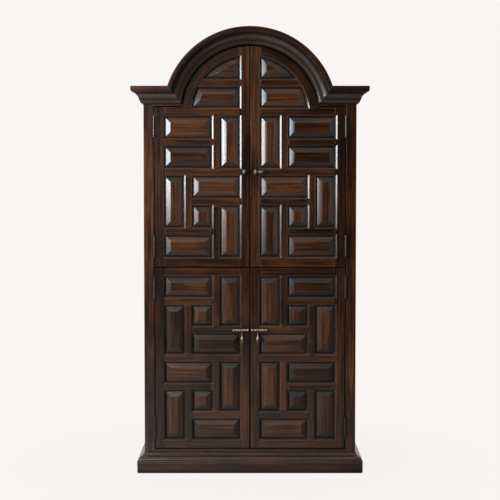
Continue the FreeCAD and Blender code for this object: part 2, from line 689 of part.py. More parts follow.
def latch(x, z):
    """Turn latch: rose on the door face, lever with its spindle, tongue behind the door."""
    hole, thick = SPINDLE_RADIUS + PIN_PLAY, ROSE_THICKNESS
    steps = [(ROSE_RADIUS, 0.0), (ROSE_RADIUS, thick * 0.5), (ROSE_RADIUS * 0.75, thick), (hole, thick)]
    rose = lathe((hole, 0.0), steps, V(x, FACE_Y, z), V(1, 0, 0), V(0, -1, 0))
    lever_y = FACE_Y - LEVER_STAND
    tongue_y = INSIDE_Y + DOOR_CLEARANCE
    back = tongue_y + TONGUE_BAR_THICKNESS
    spindle = Part.makeCylinder(SPINDLE_RADIUS, back - lever_y, V(x, lever_y, z), V(0, 1, 0))
    fat, long = LEVER_RADIUS, LEVER_LENGTH
    neck, ball = LEVER_RADIUS * 0.36, LEVER_RADIUS * 0.36
    foot = ball_low(ball, long - ball, ball * 0.8)
    tip = ball_high(ball, long - ball, ball * 0.25)
    steps = [(neck, 0.0), (neck, long * 0.32), (fat * 0.72, long * 0.34), (fat * 0.92, long * 0.39),
             (fat, long * 0.47), (fat, long * 0.71), (fat * 0.92, long * 0.79), (fat * 0.72, long * 0.84),
             (ball * 0.8, long * 0.865), foot, ((ball, long - ball), tip), (0.0, tip[1])]
    handle = lathe((0.0, 0.0), steps, V(x, lever_y, z), V(0, 0, 1), V(1, 0, 0))
    hub = olive(radius=HUB_RADIUS, half=HUB_HALF_HEIGHT, middle=V(x, lever_y, z))
    lever = one(spindle.fuse([handle, hub]))
    half = TONGUE_BAR_WIDTH / 2
    end = z - TONGUE_BAR_LENGTH + half
    steps = [((x, z + half), (x + half, z)), (x + half, end), ((x, end - half), (x - half, end))]
    tongue = prism(wire_of((x - half, z), steps, in_elevation(tongue_y)), V(0, TONGUE_BAR_THICKNESS, 0))
    return rose, lever, one(tongue.cut(spindle))


def pull_bar(z):
    """Left pull: turned bar with ball ends on two posts."""
    x0 = DOOR_X1 - PULL_START - PULL_LENGTH
    y = FACE_Y - PULL_STAND
    long, thick = PULL_LENGTH, PULL_RADIUS
    thin, seat, ball = PULL_RADIUS * 0.52, PULL_RADIUS * 0.80, PULL_RADIUS * 0.97
    start = ball_low(ball, ball, ball * 0.2)
    neck = ball_high(ball, ball, thin)
    steps = [start, ((ball, ball), neck), (thin, long * 0.165), (thick, long * 0.18), (thick, long * 0.48),
             (seat, long * 0.50), (seat, long * 0.67), (thick, long * 0.69), (thick, long * 0.82),
             (thin, long * 0.835), (thin, long - neck[1]), ((ball, long - ball), (start[0], long - start[1])),
             (0.0, long - start[1])]
    bar = lathe((0.0, start[1]), steps, V(x0, y, z), V(0, 0, 1), V(1, 0, 0))
    spread = PULL_POST_SPACING / 2
    middle = x0 + long / 2
    posts = [Part.makeCylinder(PULL_POST_RADIUS, PULL_STAND, V(middle + offset, y, z), V(0, 1, 0))
             for offset in (-spread, spread)]
    return one(bar.fuse(posts))


def pendant(x, z):
    """Drop pull: a loop round the bar and a leaf-shaped drop on a thin neck below it."""
    y = FACE_Y - PULL_STAND
    wire = PENDANT_WIRE
    ring = PULL_RADIUS * 0.80 + PENDANT_PLAY + wire
    loop = Part.makeTorus(ring, wire, V(x, y, z), V(1, 0, 0))
    fat, long = PENDANT_RADIUS, PENDANT_DROP
    steps = [(wire, ring), (wire, long * 0.34), (fat * 0.36, long * 0.39), (fat * 0.59, long * 0.44),
             (fat * 0.80, long * 0.49), (fat * 0.94, long * 0.54), (fat, long * 0.59),
             (fat * 0.96, long * 0.64), (fat * 0.83, long * 0.70), (fat * 0.64, long * 0.76),
             (fat * 0.45, long * 0.82), (fat * 0.29, long * 0.88), (fat * 0.19, long * 0.94),
             (fat * 0.10, long), (0.0, long)]
    drop = lathe((0.0, ring), steps, V(x, y, z), V(1, 0, 0), V(0, 0, -1))
    return one(loop.fuse(drop))


def build():
    nodes = {}

    # Base
    inward = PLINTH_RAIL_WIDTH - PLINTH_PROJECTION
    nodes["base_rail_front"] = [front_run(plinth_profile, PLINTH_PROJECTION, inward, 0.0)]
    rail = left_run(plinth_profile, PLINTH_PROJECTION, inward, 0.0)
    nodes["base_rails_side"] = [rail, mirrored(rail)]
    between = HALF_CASE - inward
    rear = BACK_Y - PLINTH_RAIL_WIDTH
    nodes["base_rail_back"] = [box(-between, between, rear, BACK_Y, 0.0, PLINTH_HEIGHT)]
    cap_reach = PLINTH_PROJECTION * 1.2
    nodes["base_cap_front"] = [front_run(base_cap_profile, cap_reach, 0.0, PLINTH_HEIGHT)]
    cap = left_run(base_cap_profile, cap_reach, 0.0, PLINTH_HEIGHT)
    nodes["base_caps_side"] = [cap, mirrored(cap)]

    # Face frame
    low_hinges = hinge_heights(LOWER_Z0, LOWER_Z1)
    high_hinges = hinge_heights(UPPER_Z0, SHOULDER_Z)
    stile = box(-HALF_CASE, -HALF_OPENING, FACE_Y, INSIDE_Y, PLINTH_HEIGHT, TOP_Z)
    recesses = [box(-HALF_OPENING - HINGE_LEAF, -HALF_OPENING + 1, FACE_Y - 1, FACE_Y + HINGE_LEAF_DEPTH,
                    z - HINGE_LENGTH / 2, z + HINGE_LENGTH / 2) for z in low_hinges + high_hinges]
    stile = one(stile.cut(recesses))
    nodes["face_stile_left"] = [stile]
    nodes["face_stile_right"] = [mirrored(stile)]
    bottom = box(-HALF_OPENING, HALF_OPENING, FACE_Y, INSIDE_Y, PLINTH_HEIGHT, FLOOR_Z)
    nodes["face_bottom_rail"] = [one(bottom.cut([catch(*place, PIN_PLAY) for place in LOW_CATCHES]))]
    nodes["arch_header"] = [arch_header()]
    nodes["bullet_catches"] = [catch(*place, 0.0) for place in LOW_CATCHES + HIGH_CATCHES]

    # Cornice
    left_cornice, moulding = cornice()
    nodes["cornice_left"] = left_cornice
    nodes["cornice_right"] = [mirrored(solid) for solid in left_cornice]
    nodes["arch_moulding"] = [moulding]

    # Sides, roof and back
    frame, panels = side_frame()
    nodes["side_frame_left"] = frame
    nodes["side_frame_right"] = [mirrored(solid) for solid in frame]
    nodes["side_panels"] = panels + [mirrored(solid) for solid in panels]
    shoulder_x = arch_x(VAULT_INNER, TOP_Z) + SHOULDER_OVERLAP
    shoulder = box(-HALF_CASE, shoulder_x, INSIDE_Y, BACK_Y, TOP_Z - BOARD_THICKNESS, TOP_Z)
    nodes["roof_shoulders"] = [shoulder, mirrored(shoulder)]
    vault = Part.makeCylinder(VAULT_OUTER, BACK_Y - INSIDE_Y, V(0, INSIDE_Y, ARCH_Z), V(0, 1, 0))
    vault = vault.cut(Part.makeCylinder(VAULT_INNER, BACK_Y - INSIDE_Y, V(0, INSIDE_Y, ARCH_Z), V(0, 1, 0)))
    above = box(-HALF_CASE, HALF_CASE, INSIDE_Y, BACK_Y, TOP_Z, ARCH_Z + VAULT_OUTER + 1)
    nodes["roof_vault"] = [one(vault.common(above))]
    back_y1 = BACK_BOARD_Y + BACK_THICKNESS
    lower_back = box(-HALF_INSIDE, HALF_INSIDE, BACK_BOARD_Y, back_y1, PLINTH_HEIGHT, COUNTER_MID)
    upper_back = box(-HALF_INSIDE, HALF_INSIDE, BACK_BOARD_Y, back_y1, COUNTER_MID, TOP_Z - BOARD_THICKNESS)
    disc = Part.makeCylinder(VAULT_INNER, BACK_THICKNESS, V(0, BACK_BOARD_Y, ARCH_Z), V(0, 1, 0))
    head = box(shoulder_x, -shoulder_x, BACK_BOARD_Y, back_y1, COUNTER_MID, ARCH_Z + VAULT_OUTER)
    head = head.common(disc)
    nodes["back_panel_lower"] = [lower_back]
    nodes["back_panel_upper"] = [one(upper_back.fuse(head).removeSplitter())]

    # Boards and fittings inside
    def inner_board(play, y0, z0, z1):
        wide = HALF_INSIDE - play
        return box(-wide, wide, y0, BACK_BOARD_Y - play, z0, z1)

    shelf_y = INSIDE_Y + SHELF_SETBACK
    shelf_z = COUNTER_Z1 + UPPER_SHELF_RISE
    nodes["bottom_board"] = [inner_board(0.0, INSIDE_Y, FLOOR_Z - BOARD_THICKNESS, FLOOR_Z)]
    nodes["counter_board"] = [inner_board(0.0, INSIDE_Y + DOOR_CLEARANCE, COUNTER_Z0, COUNTER_Z1)]
    nodes["shelf_upper"] = [inner_board(0.0, shelf_y, shelf_z, shelf_z + BOARD_THICKNESS)]
    nodes["stemware_rails"] = stemware_rails(shelf_z)
    rises = (FLOOR_Z + LOWER_SHELF_RISE, COUNTER_Z1 + MIDDLE_SHELF_RISE)
    nodes["shelves_adjustable"] = [inner_board(SHELF_PLAY, shelf_y, z, z + BOARD_THICKNESS) for z in rises]
    nodes["shelf_pins"] = [pin_at(x, y, z, 0.0) for x, y, z in pin_places()]
    nodes["bottle_rack"] = bottle_rack()

    # Doors and hinges
    lower, pull_z = lower_door()
    upper, knob_z = upper_door()
    latch_x = -DOOR_X1 + LATCH_INSET
    hole = SPINDLE_RADIUS + PIN_PLAY
    spindle = Part.makeCylinder(hole, FACE_THICKNESS + 2, V(latch_x, -1, knob_z), V(0, 1, 0))
    for name, door in (("upper", upper), ("lower", lower)):
        for piece, solids in door.items():
            right = [mirrored(solid) for solid in solids]
            if name == "upper" and piece == "stiles":
                right = [one(solid.cut(spindle)) for solid in right]
            nodes["%s_left_%s" % (name, piece)] = set_in_front(solids)
            nodes["%s_right_%s" % (name, piece)] = set_in_front(right)
    case_leaves, pins = [], []
    for name, heights in (("upper", high_hinges), ("lower", low_hinges)):
        sets = [hinge(z) for z in heights]
        case_leaves += [s[0] for s in sets] + [mirrored(s[0]) for s in sets]
        pins += [s[2] for s in sets] + [mirrored(s[2]) for s in sets]
        nodes["%s_left_hinge_leaves" % name] = [s[1] for s in sets]
        nodes["%s_right_hinge_leaves" % name] = [mirrored(s[1]) for s in sets]
    nodes["hinge_case_leaves"] = case_leaves
    nodes["hinge_pins"] = pins

    # Door furniture
    nodes["knob"] = [knob(DOOR_X1 - KNOB_INSET, knob_z)]
    rose, lever, tongue = latch(latch_x, knob_z)
    nodes["latch_rose"] = [rose]
    nodes["latch_lever"] = [lever]
    nodes["latch_tongue"] = [tongue]
    bar = pull_bar(pull_z)
    nodes["pull_bar_left"] = [bar]
    nodes["pull_bar_right"] = [mirrored(bar)]
    drop = pendant(DOOR_X1 - PENDANT_INSET, pull_z)
    nodes["pendant_left"] = [drop]
    nodes["pendant_right"] = [mirrored(drop)]
    return nodes


def main():
    os.makedirs("parts", exist_ok=True)
    for name, solids in build().items():
        shape = group(solids)
        if not shape.isValid():
            raise ValueError("%s is not valid" % name)
        shape.exportStep("parts/%s.step" % name)


main()
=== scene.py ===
"""The bar armoire's looks on its CAD frame: stained wood, aged brass, studio light. Metres."""

import math

import bmesh
import bpy
from mathutils import Matrix, Vector


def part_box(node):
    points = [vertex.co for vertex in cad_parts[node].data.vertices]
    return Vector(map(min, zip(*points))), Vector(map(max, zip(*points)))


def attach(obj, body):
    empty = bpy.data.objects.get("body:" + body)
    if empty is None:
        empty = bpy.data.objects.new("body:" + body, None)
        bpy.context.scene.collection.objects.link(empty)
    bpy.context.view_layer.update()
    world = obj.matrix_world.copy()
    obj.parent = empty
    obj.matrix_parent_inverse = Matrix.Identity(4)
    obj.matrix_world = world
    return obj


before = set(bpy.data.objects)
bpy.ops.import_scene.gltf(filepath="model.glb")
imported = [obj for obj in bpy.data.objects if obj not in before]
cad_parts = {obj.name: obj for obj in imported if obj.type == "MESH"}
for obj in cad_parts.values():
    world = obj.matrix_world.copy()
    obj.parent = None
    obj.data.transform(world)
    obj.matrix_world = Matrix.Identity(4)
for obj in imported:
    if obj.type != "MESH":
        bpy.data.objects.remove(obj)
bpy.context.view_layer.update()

# Places taken from the solids
FACE_Y = -0.220
ARCH_CENTRE_Z = 1.796
ARCH_MEAN_RADIUS = 0.380
HALF_CASE = 0.530
SIDE_STILE = 0.070
HINGE_LENGTH = 0.104
HINGE_SCREW_SPACING = 0.036
HINGE_SCREW_Y = -0.209
DOOR_BACK_Y = -0.196
PULL_POST_SPACING = 0.044

# Camera, as the photograph was taken
CAMERA_RANGE = 6.5
CAMERA_PITCH = math.radians(3.0814)
CAMERA_AIM_Z = 1.1214
LENS = 93.6
SENSOR_WIDTH = 36.0

# Studio paper, its level for light that spreads, and the colour of the lamps at the left
PAPER = (0.947, 0.913, 0.888, 1.0)
AMBIENT = 0.06
FLOOR_GLOW = 0.22
DAYLIGHT = (0.97, 1.0, 1.04)

# Floor disc
FLOOR_RADIUS = 14.0
FLOOR_SIDES = 96
FLOOR_DROP = 0.0005

# A span holds two levels of what its name ends with, then what it gives at each; 0 and 1 if left out
SHADOW_BY_RANGE = (0.7, 1.5, 0.05, 0.0)
FLOOR_GLOSS_BY_RANGE = (0.8, 9.0, 0.52, 0.10)
FLOOR_GLOSS_BY_SIDE = (-0.8, 0.6, 1.2, 0.5)

# The room as gloss shows it: level by how far a direction points to the back
ROOM = ((-1.0, 0.005), (-0.975, 0.05), (-0.92, 0.45), (-0.70, 0.62), (-0.20, 0.66), (0.10, 1.0))

# A faint glow left of the camera, seen in the gloss of the left half alone, brightest at its upper left
LEFT_GLOW = (0.36, 0.39, 0.45, 1.0)
GLOW_BY_LEFT = (0.0, -0.10, 0.0, 0.33)
GLOW_BY_FAR_LEFT = (-0.066, -0.085)
GLOW_BY_HEIGHT = (-0.03, 0.05, 0.0, 0.67)
GLOW_BY_FRONT = (-0.95, -0.98)

# Stain: darkest streak, middle, lightest streak, rubbed arris
STAIN = (
    (0.0140, 0.0043, 0.0014),
    (0.0550, 0.0186, 0.0062),
    (0.1420, 0.0520, 0.0175),
    (0.1600, 0.0800, 0.0440),
)
INNER_STAIN = (
    (0.0260, 0.0105, 0.0055),
    (0.0560, 0.0240, 0.0120),
    (0.0950, 0.0450, 0.0240),
    (0.1400, 0.0750, 0.0430),
)
STAIN_PLACES = (0.05, 0.50, 0.95)

# How light the stain is on each kind of board, and how bright its rubbed arrises are, where not 1; on the
# mouldings that brightness is wear and a painted highlight along the ridges
LIGHTNESS = {"case": 1.42, "frame": 0.86, "arch": 0.58, "base": 0.62, "moulding": 0.52}
RUB_AND_RIDGE_HIGHLIGHT_GAINS = {"moulding": 2.4, "base": 1.4}

# Roughness of the lacquer
PLAIN_ROUGHNESS = 0.17
INNER_ROUGHNESS = 0.50
ROUGHNESS = {"base": 0.24, "moulding": 0.24}

# How far the arrises are rubbed round
PLAIN_EASE = 0.0012
EASES = {"base": 0.0020, "moulding": 0.0015, "panel": 0.0020, "frame": 0.0007, "arch": 0.0007}

# Streaks of the grain: length, width, detail, roughness, distortion
STREAKS = {
    "broad": (0.60, 0.021, 3.0, 0.55, 0.30),
    "fine": (0.19, 0.0065, 4.0, 0.65, 0.10),
    "pores": (0.035, 0.0011, 2.0, 0.6, 0.0),
    "cloud": (0.32, 0.16, 2.0, 0.5, 0.4),
}

# How much the streaks and the board's own tone move the stain from its middle
TONE_SHARES = {"broad": 1.3, "fine": 1.9, "cloud": 1.1, "tone": 0.50}
MIDDLE = 0.5

# Boards: straight ways they run, how far apart their figures lie, how close one's points are, tone seed
AXES = ("x", "y", "z")
BOARD_SHIFT = 41.0
BOARD_WELD = 0.00002
TONE_SEED = 6104

# Wood: darker pores and end grain, painted shade in corners and on their gloss, wear on arrises, dulling
# and relief
AIR_REACH = 0.040
PORE_SHADE_BY_NOISE = (0.36, 0.46, 0.55, 1.0)
RUB_RADIUS = 0.0030
RUB_TURN = 0.16
WEAR_BY_AIR = (0.55, 0.95)
WEAR_BY_CLOUD = (0.30, 0.62, 0.20, 0.70)
# Painted shade: the colour darkened in corners and grooves, by how enclosed a point is
PAINTED_SHADE_BY_AIR = (0.55, 0.98, 0.06, 1.0)
GLAZE_BY_END = (0.0, 1.0, 1.0, 0.45)
END_BY_TURN = (0.12, 0.34)
# Painted shade on the gloss: reflections dimmed in corners and grooves
PAINTED_GLOSS_SHADE_BY_AIR = (0.38, 0.75, 0.20, 1.0)
DULLING_BY_AIR = (0.35, 0.85, 0.35, 0.0)
FINE_DULLING = 0.04
END_DULLING = 0.06
FINE_RELIEF = 0.6
PORE_RELIEF = 0.4
WOOD_RELIEF = 0.018
WOOD_RELIEF_DEPTH = 0.0005
WOOD_SPECULAR = 0.65

# Painted bands of light and shade across the cornice section, 0 at its lower or inner edge and 1 at its
# outer: place, stain (painted shade below 1, painted highlight above 1), gloss (painted reflection
# strength)
PAINTED_SECTION_BANDS = (
    (0.02, 0.60, 0.45),
    (0.09, 0.90, 0.65),
    (0.17, 1.70, 1.00),
    (0.25, 0.50, 0.40),
    (0.32, 0.80, 0.60),
    (0.42, 1.70, 1.00),
    (0.52, 1.40, 0.90),
    (0.58, 0.50, 0.35),
    (0.68, 0.85, 0.25),
    (0.76, 1.25, 0.20),
    (0.86, 1.30, 0.42),
    (1.00, 1.20, 0.42),
)

# The bands' painted stain factor is kept as a share of this, so that no stop is over 1
BAND_TOP = 2.0
# How strongly the painted band gloss shows on the arch and on the straight returns
PAINTED_BAND_GLOSS = {"arc": 1.6, "return": 1.9}

# Brass: noises of the film and its specks, wear, dulling and relief
FILM = (130.0, 4.0, 0.6, 0.5)
SPECKS = (900.0, 2.0, 0.5, 0.0)
BRASS_AIR_REACH = 0.006
HANDLED_RADIUS = 0.0012
HANDLED_TURN = 0.10
HANDLED_SHARE = 0.6
HANDLED_BY_AIR = (0.4, 0.9)
BRIGHT_BY_FILM = (0.35, 0.68)
BLACK_BY_AIR = (0.30, 0.85, 0.90, 0.0)
FILM_DULLING = 0.30
SPECK_RELIEF = 0.5
BRASS_RELIEF = 0.10
BRASS_RELIEF_DEPTH = 0.0003
BRASS_EASE = 0.0006

# Rays that look round an arris or into a corner
NEAR_SAMPLES = 6

# Colour sockets of the node that mixes: two inputs and the output
MIX_FIRST = 6
MIX_SECOND = 7
MIX_RESULT = 2

# Screw heads: half section, out and up, slot and foot as shares of the radius; turn from one to the next
HEAD_SECTION = ((1.0, -0.15), (1.0, 0.04), (0.82, 0.15), (0.45, 0.21), (0.0, 0.23))
HEAD_SIDES = 20
HEAD_WELD = 0.001
SLOT_HALF = 0.13
FOOT_RADIUS = 0.97
FOOT_RISE = 0.03
SLOT_TURN = 0.7
SCREW_RADIUS = 0.0034
BOLT_RADIUS = 0.0050


# Boards
def board_group():
    """Each board of a node gets its own two numbers; the mesh and its normals stay as they came."""
    group = bpy.data.node_groups.new("boards", "GeometryNodeTree")
    group.interface.new_socket("Geometry", in_out="INPUT", socket_type="NodeSocketGeometry")
    group.interface.new_socket("Seed", in_out="INPUT", socket_type="NodeSocketInt")
    group.interface.new_socket("Tone", in_out="INPUT", socket_type="NodeSocketInt")
    group.interface.new_socket("Geometry", in_out="OUTPUT", socket_type="NodeSocketGeometry")
    make = group.nodes.new
    join = group.links.new
    start = make("NodeGroupInput")
    end = make("NodeGroupOutput")
    merge = make("GeometryNodeMergeByDistance")
    merge.inputs["Distance"].default_value = BOARD_WELD
    island = make("GeometryNodeInputMeshIsland")
    nearest = make("GeometryNodeSampleNearest")
    nearest.domain = "POINT"
    join(start.outputs[0], merge.inputs["Geometry"])
    join(merge.outputs[0], nearest.inputs[0])
    shape = start.outputs[0]
    for seed, name in ((start.outputs[1], "board"), (start.outputs[2], "tone")):
        chance = make("FunctionNodeRandomValue")
        sample = make("GeometryNodeSampleIndex")
        store = make("GeometryNodeStoreNamedAttribute")
        for node in (chance, sample, store):
            node.data_type = "FLOAT"
        for node in (sample, store):
            node.domain = "POINT"
        store.inputs["Name"].default_value = name
        join(island.outputs["Island Index"], chance.inputs["ID"])
        join(seed, chance.inputs["Seed"])
        join(merge.outputs[0], sample.inputs[0])
        join(chance.outputs[1], sample.inputs[1])
        join(nearest.outputs[0], sample.inputs["Index"])
        join(shape, store.inputs["Geometry"])
        join(sample.outputs[0], store.inputs["Value"])
        shape = store.outputs[0]
    join(shape, end.inputs[0])
    return group


BOARDS = board_group()


def dress(name, material, seed):
    """The CAD node keeps its shape; it gets board numbers and a material."""
    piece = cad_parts[name]
    skin = piece.modifiers.new("boards", "NODES")
    skin.node_group = BOARDS
    skin["Socket_1"] = seed
    skin["Socket_2"] = TONE_SEED + seed
    piece.data.materials.clear()
    piece.data.materials.append(material)


# Materials
class Graph:
    """The node tree of a material or world, with short calls that add nodes and join them."""

    def __init__(self, owner):
        owner.use_nodes = True
        self.owner = owner
        self.tree = owner.node_tree
        self.tree.nodes.clear()

    def put(self, socket, value):
        if isinstance(value, bpy.types.NodeSocket):
            self.tree.links.new(value, socket)
        else:
            socket.default_value = value

    def add(self, kind, **values):
        node = self.tree.nodes.new("ShaderNode" + kind)
        for key, value in values.items():
            self.put(node.inputs[key.replace("_", " ")], value)
        return node

    def math(self, operation, *values):
        node = self.add("Math")
        node.operation = operation
        for socket, value in zip(node.inputs, values):
            self.put(socket, value)
        return node.outputs[0]

    def plus(self, first, second):
        return self.math("ADD", first, second)

    def minus(self, first, second):
        return self.math("SUBTRACT", first, second)

    def times(self, first, second):
        return self.math("MULTIPLY", first, second)

    def length(self, first, second):
        """Length of the long side of a right triangle with those short sides."""
        return self.math("SQRT", self.plus(self.times(first, first), self.times(second, second)))

    def either(self, choice, first, second):
        """The first where the choice is 0, the second where it is 1."""
        return self.plus(first, self.times(choice, self.minus(second, first)))

    def span(self, value, low, high, to_low=0.0, to_high=1.0):
        node = self.add("MapRange")
        for socket, item in zip(node.inputs, (value, low, high, to_low, to_high)):
            self.put(socket, item)
        return node.outputs[0]

    def mix(self, factor, first, second, blend="MIX"):
        node = self.add("Mix")
        node.data_type = "RGBA"
        node.blend_type = blend
        self.put(node.inputs[0], factor)
        self.put(node.inputs[MIX_FIRST], first)
        self.put(node.inputs[MIX_SECOND], second)
        return node.outputs[MIX_RESULT]

    def tint(self, colour, by):
        return self.mix(1.0, colour, by, "MULTIPLY")

    def ramp(self, value, stops):
        node = self.add("ValToRGB", Fac=value)
        elements = node.color_ramp.elements
        while len(elements) < len(stops):
            elements.new(MIDDLE)
        for element, (place, colour) in zip(elements, stops):
            element.position = place
            element.color = (*colour, 1.0)
        return node.outputs[0]

    def noise(self, vector, scale, detail, roughness, distortion):
        node = self.add("TexNoise", Vector=vector, Scale=scale, Detail=detail, Roughness=roughness,
                        Distortion=distortion)
        return node.outputs[0]

    def vector(self, x, y, z):
        return self.add("CombineXYZ", X=x, Y=y, Z=z).outputs[0]

    def grey(self, level):
        return self.vector(level, level, level)

    def place(self, kind="Object"):
        coordinates = self.add("TexCoord").outputs[kind]
        return self.add("SeparateXYZ", Vector=coordinates).outputs[:]

    def attribute(self, name):
        node = self.add("Attribute")
        node.attribute_name = name
        return node.outputs["Fac"]

    def eased(self, radius):
        """Normals as if arrises were rounded by that radius."""
        node = self.add("Bevel", Radius=radius)
        node.samples = NEAR_SAMPLES
        return node.outputs[0]

    def edge(self, radius, turn):
        """1 along an arris, falling to 0 at the radius from it."""
        dot = self.add("VectorMath")
        dot.operation = "DOT_PRODUCT"
        self.put(dot.inputs[0], self.eased(radius))
        self.put(dot.inputs[1], self.add("NewGeometry").outputs["Normal"])
        return self.span(dot.outputs["Value"], 1.0, 1.0 - turn)

    def open_air(self, reach):
        """1 on open surfaces, lower in corners and grooves."""
        node = self.add("AmbientOcclusion", Distance=reach)
        node.samples = NEAR_SAMPLES
        return node.outputs["AO"]

    def bump(self, height, strength, depth, ease):
        """Surface relief on arrises that are eased by that radius."""
        node = self.add("Bump", Strength=strength, Distance=depth, Height=height, Normal=self.eased(ease))
        return node.outputs[0]

    def coated(self, **values):
        return self.shown(self.add("BsdfPrincipled", **values).outputs[0])

    def shown(self, shader, output="OutputMaterial"):
        self.add(output, Surface=shader)
        return self.owner


def grain_axes(graph, run):
    """Distances along the grain, across it and into the board, for the way a board runs."""
    x, y, z = graph.place()
    if run == "x":
        return x, z, y
    if run == "y":
        return y, x, z
    if run == "arc":
        rise = graph.minus(z, ARCH_CENTRE_Z)
        turn = graph.math("ARCTAN2", x, rise)
        return graph.times(turn, ARCH_MEAN_RADIUS), graph.length(x, rise), y
    if run == "return":
        out = graph.minus(graph.math("ABSOLUTE", x), HALF_CASE)
        back = graph.minus(y, FACE_Y)
        side = graph.math("GREATER_THAN", graph.plus(out, back), 0.0)
        along = graph.either(side, x, y)
        return along, z, graph.minus(graph.plus(x, y), along)
    if run == "side":
        low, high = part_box("side_frame_left")
        off = graph.math("ABSOLUTE", graph.minus(y, (low[1] + high[1]) / 2.0))
        rail = graph.math("LESS_THAN", off, (high[1] - low[1]) / 2.0 - SIDE_STILE)
        along = graph.either(rail, z, y)
        return along, graph.minus(graph.plus(y, z), along), x
    return z, x, y


def end_grain(graph, run):
    """1 where a straight board is cut across its grain, 0 along it."""
    if run not in AXES:
        return 0.0
    facing = graph.place("Normal")[AXES.index(run)]
    return graph.span(graph.math("ABSOLUTE", facing), *END_BY_TURN)


def streaks(graph, figure, length, width, detail, roughness, distortion):
    """Noise drawn out along the grain."""
    along, across, deep = figure
    place = graph.vector(
        graph.times(along, 1.0 / length),
        graph.times(across, 1.0 / width),
        graph.times(deep, 1.0 / width),
    )
    return graph.noise(place, 1.0, detail, roughness, distortion)


def stained(graph, stain, grain, pore, air, end):
    """Colour by the streaks, darker in pores and end grain, painted shade in corners, lighter on rubbed
    arrises.
    """
    *streak_colours, rubbed_and_highlight = stain
    tone = MIDDLE
    for key, share in TONE_SHARES.items():
        tone = graph.plus(tone, graph.times(graph.minus(grain[key], MIDDLE), share))
    colour = graph.ramp(tone, list(zip(STAIN_PLACES, streak_colours)))
    colour = graph.tint(colour, graph.grey(pore))
    # Lighter rubbed arrises: wear, with a painted ridge highlight on the mouldings
    worn = graph.times(graph.edge(RUB_RADIUS, RUB_TURN), graph.span(air, *WEAR_BY_AIR))
    worn = graph.times(worn, graph.span(grain["cloud"], *WEAR_BY_CLOUD))
    colour = graph.mix(worn, colour, (*rubbed_and_highlight, 1.0))
    # Painted shade in corners and grooves, times the darker end grain
    painted_shade_and_end_grain = graph.times(graph.span(air, *PAINTED_SHADE_BY_AIR), graph.span(end, *GLAZE_BY_END))
    return graph.tint(colour, graph.grey(painted_shade_and_end_grain))


def section_place(graph, run, across):
    """Where a point lies on the cornice section, 0 at its lower or inner edge and 1 at its outer one."""
    low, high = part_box("cornice_left")
    rise = high[2] - low[2]
    start = low[2]
    if run == "arc":
        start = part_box("arch_moulding")[1][2] - ARCH_CENTRE_Z - rise
    return graph.span(across, start, start + rise)


def painted_bands(graph, run, across, colour, painted_gloss):
    """Painted light and shade in bands across the cornice section, on its colour and on its gloss."""
    spot = section_place(graph, run, across)
    # The stain column darkens the colour as painted shade where below 1 and lightens it as a painted
    # highlight where above 1
    left = graph.ramp(spot, [(place, 3 * (stain / BAND_TOP,)) for place, stain, gloss in PAINTED_SECTION_BANDS])
    left = graph.tint(left, (BAND_TOP, BAND_TOP, BAND_TOP, 1.0))
    band_gloss = graph.ramp(spot, [(place, 3 * (gloss,)) for place, stain, gloss in PAINTED_SECTION_BANDS])
    return graph.tint(colour, left), graph.times(painted_gloss, graph.times(band_gloss, PAINTED_BAND_GLOSS[run]))


def wood(name, run, stain, roughness, ease, moulded=False):
    """Dark stained wood: broad streaks, fine pores, blotches of stain, lighter rubbed arrises, painted
    shade in corners, and painted bands of light and shade on the mouldings.
    """
    graph = Graph(bpy.data.materials.new(name))
    along, across, deep = grain_axes(graph, run)
    shift = graph.times(graph.attribute("board"), BOARD_SHIFT)
    figure = (graph.plus(along, shift), graph.plus(across, shift), deep)
    grain = {key: streaks(graph, figure, *sizes) for key, sizes in STREAKS.items()}
    grain["tone"] = graph.attribute("tone")
    pore = graph.span(grain["pores"], *PORE_SHADE_BY_NOISE)
    air = graph.open_air(AIR_REACH)
    end = end_grain(graph, run)
    colour = stained(graph, stain, grain, pore, air, end)
    # Painted shade on the gloss: reflections dimmed in corners and grooves
    painted_gloss = graph.span(air, *PAINTED_GLOSS_SHADE_BY_AIR)
    if moulded:
        colour, painted_gloss = painted_bands(graph, run, across, colour, painted_gloss)
    rough = graph.plus(roughness, graph.times(graph.minus(grain["fine"], MIDDLE), FINE_DULLING))
    rough = graph.plus(rough, graph.span(air, *DULLING_BY_AIR))
    rough = graph.plus(rough, graph.times(end, END_DULLING))
    height = graph.plus(graph.times(grain["fine"], FINE_RELIEF), graph.times(pore, PORE_RELIEF))
    return graph.coated(
        Base_Color=colour,
        Roughness=rough,
        Specular_IOR_Level=WOOD_SPECULAR,
        Specular_Tint=graph.grey(painted_gloss),
        Normal=graph.bump(height, WOOD_RELIEF, WOOD_RELIEF_DEPTH, ease),
    )


def brass(name, bright, aged, black, roughness):
    """Aged metal: brown film broken by handling, black in the turnings, bright on the arrises."""
    graph = Graph(bpy.data.materials.new(name))
    place = graph.vector(*graph.place())
    film = graph.noise(place, *FILM)
    specks = graph.noise(place, *SPECKS)
    air = graph.open_air(BRASS_AIR_REACH)
    handled = graph.times(graph.edge(HANDLED_RADIUS, HANDLED_TURN), graph.span(air, *HANDLED_BY_AIR))
    colour = graph.mix(graph.span(film, *BRIGHT_BY_FILM), (*aged, 1.0), (*bright, 1.0))
    colour = graph.mix(graph.times(handled, HANDLED_SHARE), colour, (*bright, 1.0))
    colour = graph.mix(graph.span(air, *BLACK_BY_AIR), colour, (*black, 1.0))
    rough = graph.plus(roughness, graph.times(graph.minus(film, MIDDLE), FILM_DULLING))
    height = graph.plus(graph.times(specks, SPECK_RELIEF), film)
    return graph.coated(
        Base_Color=colour,
        Metallic=1.0,
        Roughness=rough,
        Normal=graph.bump(height, BRASS_RELIEF, BRASS_RELIEF_DEPTH, BRASS_EASE),
    )


